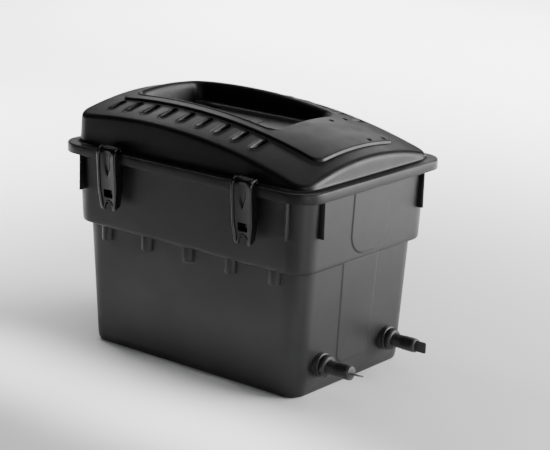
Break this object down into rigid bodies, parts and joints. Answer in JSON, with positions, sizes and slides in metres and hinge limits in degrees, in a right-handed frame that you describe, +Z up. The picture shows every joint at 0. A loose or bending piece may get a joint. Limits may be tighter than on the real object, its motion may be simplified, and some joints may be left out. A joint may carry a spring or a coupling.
{
  "type": "pond filter",
  "caption": "Black box-type pond filter: stepped tank, arched lid with planting tray and clamp clips, foam and media inside, stepped hose inlet, pipe outlet, plugged drains.",
  "frame": {"origin": "on the ground under the centre of the tank", "axes": "+X along the long side to the end with the two drains, -Y to the front long side, +Z up"},
  "size_m": [0.699, 0.424, 0.4522],
  "materials": {
    "tank_plastic": "satin, fine moulded grain",
    "lid_plastic": "satin, fine moulded grain",
    "clip_plastic": "satin",
    "fitting_plastic": "semi-matt",
    "plug_plastic": "semi-matt",
    "pipe_plastic": "satin",
    "grid_plastic": "matt",
    "seal_rubber": "matt",
    "pin_steel": "brushed",
    "foam_coarse": "open-cell foam",
    "foam_medium": "open-cell foam",
    "foam_fine": "open-cell foam",
    "media_net": "knitted net bag"
  },
  "bodies": {
    "filter_box": {"tank": "tank_plastic", "lower_grid": "grid_plastic", "media_bag_inlet_side": "media_net", "media_bag_drain_side": "media_net", "foam_grate": "grid_plastic", "foam_fine": "foam_fine", "foam_medium": "foam_medium", "foam_coarse": "foam_coarse", "distribution_tray": "grid_plastic", "inlet_fitting": "fitting_plastic", "inlet_gasket": "seal_rubber", "inlet_nut": "fitting_plastic", "inlet_hose_tail": "fitting_plastic", "inlet_union_nut": "fitting_plastic", "standpipe": "pipe_plastic", "outlet_elbow": "pipe_plastic", "outlet_seal": "seal_rubber", "drain_tube_front": "fitting_plastic", "drain_tube_back": "fitting_plastic", "drain_gasket_front": "seal_rubber", "drain_gasket_back": "seal_rubber", "drain_nut_front": "fitting_plastic", "drain_nut_back": "fitting_plastic"},
    "lid": {"lid": "lid_plastic", "lid_gasket": "seal_rubber", "clip_pins": "pin_steel"},
    "clip_front_left": {"clip_front_left": "clip_plastic"},
    "clip_front_right": {"clip_front_right": "clip_plastic"},
    "clip_back_left": {"clip_back_left": "clip_plastic"},
    "clip_back_right": {"clip_back_right": "clip_plastic"},
    "drain_plug_front": {"drain_plug_front": "plug_plastic", "plug_seal_front": "seal_rubber"},
    "drain_plug_back": {"drain_plug_back": "plug_plastic", "plug_seal_back": "seal_rubber"}
  },
  "joints": [
    {"name": "lid_lift", "type": "slide", "parent": "filter_box", "child": "lid", "axis": [0, 0, 1], "range_m": [0, 0.3]},
    {"name": "clip_front_left_swing", "type": "hinge", "parent": "lid", "child": "clip_front_left", "pos_m": [-0.15, -0.195, 0.3715], "axis": [-1, 0, 0], "range_deg": [0, 120]},
    {"name": "clip_back_left_swing", "type": "hinge", "parent": "lid", "child": "clip_back_left", "pos_m": [-0.15, 0.195, 0.3715], "axis": [1, 0, 0], "range_deg": [0, 120]},
    {"name": "clip_front_right_swing", "type": "hinge", "parent": "lid", "child": "clip_front_right", "pos_m": [0.15, -0.195, 0.3715], "axis": [-1, 0, 0], "range_deg": [0, 120]},
    {"name": "clip_back_right_swing", "type": "hinge", "parent": "lid", "child": "clip_back_right", "pos_m": [0.15, 0.195, 0.3715], "axis": [1, 0, 0], "range_deg": [0, 120]},
    {"name": "drain_plug_front_turn", "type": "hinge", "parent": "filter_box", "child": "drain_plug_front", "pos_m": [0.3, -0.095, 0.052], "axis": [1, 0, 0], "continuous": true},
    {"name": "drain_plug_back_turn", "type": "hinge", "parent": "filter_box", "child": "drain_plug_back", "pos_m": [0.3, 0.095, 0.052], "axis": [1, 0, 0], "continuous": true}
  ]
}
